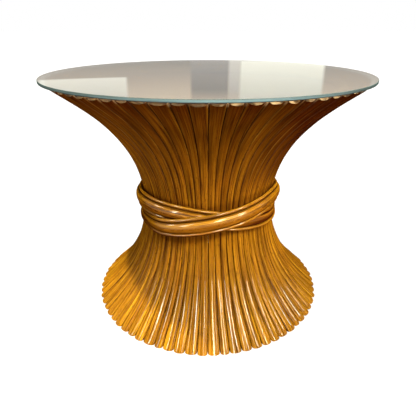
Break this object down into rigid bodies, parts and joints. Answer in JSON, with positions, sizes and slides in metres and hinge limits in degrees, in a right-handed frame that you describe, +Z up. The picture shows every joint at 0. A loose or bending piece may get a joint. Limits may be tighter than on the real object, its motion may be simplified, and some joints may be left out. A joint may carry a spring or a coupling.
{
  "type": "wheat sheaf side table",
  "caption": "Round side table: a flared hourglass sheaf of stained half-round staves on inner hoops, bound by a crossed pole tie, under a loose clear glass top.",
  "frame": {"origin": "on the floor under the centre of the glass top", "axes": "+Z up along the sheaf's axis, -Y toward the side where the tie crosses"},
  "size_m": [0.762, 0.762, 0.589],
  "materials": {
    "stave_wood": "amber stain under satin lacquer",
    "hoop_wood": "bare pole, unlacquered",
    "tie_wood": "amber stain under gloss lacquer",
    "bumper_plastic": "clear soft plastic",
    "top_glass": "clear polished glass with a green-tinted edge"
  },
  "bodies": {
    "sheaf": {"stave_pair_01": "stave_wood", "stave_pair_02": "stave_wood", "stave_pair_03": "stave_wood", "stave_pair_04": "stave_wood", "stave_pair_05": "stave_wood", "stave_pair_06": "stave_wood", "stave_pair_07": "stave_wood", "stave_pair_08": "stave_wood", "stave_pair_09": "stave_wood", "stave_pair_10": "stave_wood", "stave_pair_11": "stave_wood", "stave_pair_12": "stave_wood", "stave_pair_13": "stave_wood", "stave_pair_14": "stave_wood", "stave_pair_15": "stave_wood", "stave_pair_16": "stave_wood", "stave_pair_17": "stave_wood", "stave_pair_18": "stave_wood", "stave_pair_19": "stave_wood", "stave_pair_20": "stave_wood", "stave_pair_21": "stave_wood", "stave_pair_22": "stave_wood", "stave_pair_23": "stave_wood", "stave_pair_24": "stave_wood", "stave_pair_25": "stave_wood", "stave_pair_26": "stave_wood", "stave_pair_27": "stave_wood", "stave_pair_28": "stave_wood", "stave_pair_29": "stave_wood", "stave_pair_30": "stave_wood", "stave_pair_31": "stave_wood", "stave_pair_32": "stave_wood", "stave_pair_33": "stave_wood", "stave_pair_34": "stave_wood", "stave_pair_35": "stave_wood", "stave_pair_36": "stave_wood", "rim_hoop": "hoop_wood", "waist_hoop": "hoop_wood", "foot_hoop": "hoop_wood", "tie_core": "tie_wood", "tie_upper_cord": "tie_wood", "tie_lower_cord": "tie_wood", "glass_bumper_1": "bumper_plastic", "glass_bumper_2": "bumper_plastic", "glass_bumper_3": "bumper_plastic", "glass_bumper_4": "bumper_plastic", "glass_bumper_5": "bumper_plastic", "glass_bumper_6": "bumper_plastic", "glass_bumper_7": "bumper_plastic", "glass_bumper_8": "bumper_plastic"},
    "glass": {"glass_top": "top_glass"}
  },
  "joints": [
    {"name": "glass_lift", "type": "slide", "parent": "sheaf", "child": "glass", "axis": [0, 0, 1], "range_m": [0, 0.15]}
  ]
}
